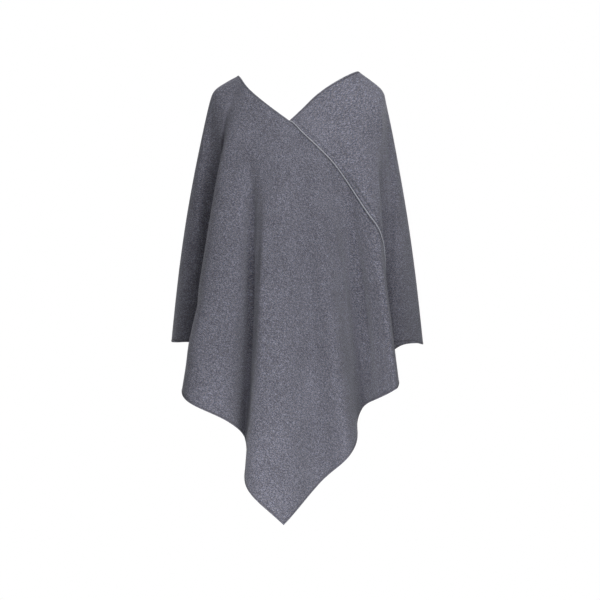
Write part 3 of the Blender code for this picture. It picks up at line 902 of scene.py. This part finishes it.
class PONCHO_OT_chains(bpy.types.Operator):
    """Link the seams and finish the edges with chains of stitches"""

    bl_idname = "poncho.chains"
    bl_label = "Linking chains"

    def execute(self, context):
        cloth = context.scene.poncho_cloth
        knit = context.scene.poncho_knit
        seam_yarn = chain_material("seam_linking_yarn", tuple(knit.chain), knit)
        edge_yarn = chain_material("edge_linking_yarn", tuple(knit.edge_chain), knit)
        chain = StitchChain()
        sizes = {
            "Pitch": knit.chain_pitch,
            "Link Length": knit.chain_pitch * LINK_OVERLAP,
            "Link Width": knit.chain_width,
            "Yarn Radius": knit.chain_yarn,
            "Tilt": knit.chain_tilt,
            "Seed": CHAIN_SEED,
        }
        for panel, side, seam in (("right", -1, "front"), ("left", 1, "back")):
            grid = PanelGrid(side, cloth)
            half = half_wall(grid) + knit.chain_yarn / 2
            surface = grid.points + grid.normals * half[..., None]
            on_neck = grid.along <= HALF_NECK + NECK_CHAIN_END
            free_end = PANEL_LENGTH - HALF_NECK
            on_seam = ~on_neck & (grid.along < free_end - SEAM_CHAIN_END)
            between_grooves = slice(GROOVE_ROW, -GROOVE_ROW)
            runs = {
                panel + "_neck_chain": (GROOVE_ROW, on_neck),
                seam + "_seam_chain": (LIP_ROW, on_seam),
                panel + "_hem_chain": (-1 - GROOVE_ROW, between_grooves),
                panel + "_end_chain": (between_grooves, -1 - GROOVE_ROW),
            }
            for name, run in runs.items():
                sizes["Yarn"] = seam_yarn if name.endswith("seam_chain") else edge_yarn
                piece = chain.lay(context, name, surface[run], grid.normals[run], sizes)
                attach(piece, BODY)
        return {"FINISHED"}


class PONCHO_OT_stage(bpy.types.Operator):
    """Set up the floor, the soft light and the camera"""

    bl_idname = "poncho.stage"
    bl_label = "Stage"

    def execute(self, context):
        stage = context.scene.poncho_stage
        self.make_floor(context, stage)
        self.make_surroundings(context, stage)
        for light in LIGHTS:
            self.make_light(context, light, stage.light_strength)
        self.make_camera(context, stage)
        return {"FINISHED"}

    @staticmethod
    def make_floor(context, stage):
        disc = bmesh.new()
        bmesh.ops.create_circle(disc, cap_ends=True, segments=96, radius=stage.floor_radius)
        for vertex in disc.verts:
            vertex.co.z = stage.floor_drop
        mesh = bpy.data.meshes.new("floor")
        disc.to_mesh(mesh)
        disc.free()
        material, tree, shader = new_material("pale_floor")
        place = tree.add("ShaderNodeTexCoord").outputs["Object"]
        pale, paler = ((tone, tone, tone, 1) for tone in FLOOR_TONES)
        grain = tree.noise(place, 9.0, 3.0)
        tree.feed(shader, {"Base Color": tree.mix(grain, pale, paler), "Roughness": 0.8})
        mesh.materials.append(material)
        floor = bpy.data.objects.new("floor", mesh)
        context.scene.collection.objects.link(floor)

    @staticmethod
    def make_surroundings(context, stage):
        """White all round for the eye, and a weak soft light for the cloth."""
        world = bpy.data.worlds.new("white_room")
        world.use_nodes = True
        tree = Tree(world.node_tree)
        seen = world.node_tree.nodes["Background"]
        tree.feed(seen, {"Color": (1, 1, 1, 1), "Strength": 1.0})
        light = tree.add("ShaderNodeBackground", {"Color": (1, 1, 1, 1), "Strength": stage.ambient})
        ray = tree.add("ShaderNodeLightPath").outputs["Is Camera Ray"]
        both = tree.add("ShaderNodeMixShader", {0: ray, 1: light.outputs[0], 2: seen.outputs[0]})
        tree.feed(world.node_tree.nodes["World Output"], {"Surface": both.outputs[0]})
        context.scene.world = world

    @staticmethod
    def make_light(context, light, strength):
        """A round soft light that faces the middle of the poncho."""
        lamp = bpy.data.lights.new(light.name, "AREA")
        lamp.shape = "DISK"
        lamp.energy = light.power * strength
        lamp.size = light.size
        level = light.distance * cosine(light.height)
        place = round_body(light.direction, level, light.distance * sine(light.height))
        stand = bpy.data.objects.new(light.name, lamp)
        stand.visible_camera = False
        stand.location = LIT_POINT + Vector(place)
        stand.rotation_euler = (-Vector(place)).to_track_quat("-Z", "Y").to_euler()
        context.scene.collection.objects.link(stand)

    @staticmethod
    def make_camera(context, stage):
        lens = bpy.data.cameras.new("camera")
        lens.sensor_width = SENSOR_WIDTH
        lens.lens = SENSOR_WIDTH * stage.camera_distance / stage.view_width
        camera = bpy.data.objects.new("camera", lens)
        camera.location = (stage.camera_side, -stage.camera_distance, stage.camera_height)
        camera.rotation_euler = (np.pi / 2, 0.0, 0.0)
        context.scene.collection.objects.link(camera)
        context.scene.camera = camera
        context.scene.view_settings.view_transform = "Standard"


class PONCHO_PT_sidebar(bpy.types.Panel):
    """Lists the poncho's pieces in the sidebar"""

    bl_idname = "PONCHO_PT_sidebar"
    bl_label = "Knitted poncho"
    bl_space_type = "VIEW_3D"
    bl_region_type = "UI"
    bl_category = "Poncho"

    def draw(self, context):
        for operator in OPERATORS:
            self.layout.operator(operator.bl_idname)


SETTINGS = {
    "poncho_cloth": PonchoClothSettings,
    "poncho_knit": PonchoKnitSettings,
    "poncho_stage": PonchoStageSettings,
}
OPERATORS = [PONCHO_OT_panels, PONCHO_OT_chains, PONCHO_OT_stage]
CLASSES = [*SETTINGS.values(), *OPERATORS, PONCHO_PT_sidebar]


def register():
    for each in CLASSES:
        bpy.utils.register_class(each)
    for name, group in SETTINGS.items():
        setattr(bpy.types.Scene, name, bpy.props.PointerProperty(type=group))


def unregister():
    for name in SETTINGS:
        delattr(bpy.types.Scene, name)
    for each in reversed(CLASSES):
        bpy.utils.unregister_class(each)


def main():
    register()
    bpy.ops.poncho.panels()
    bpy.ops.poncho.chains()
    bpy.ops.poncho.stage()


if __name__ == "__main__":
    main()
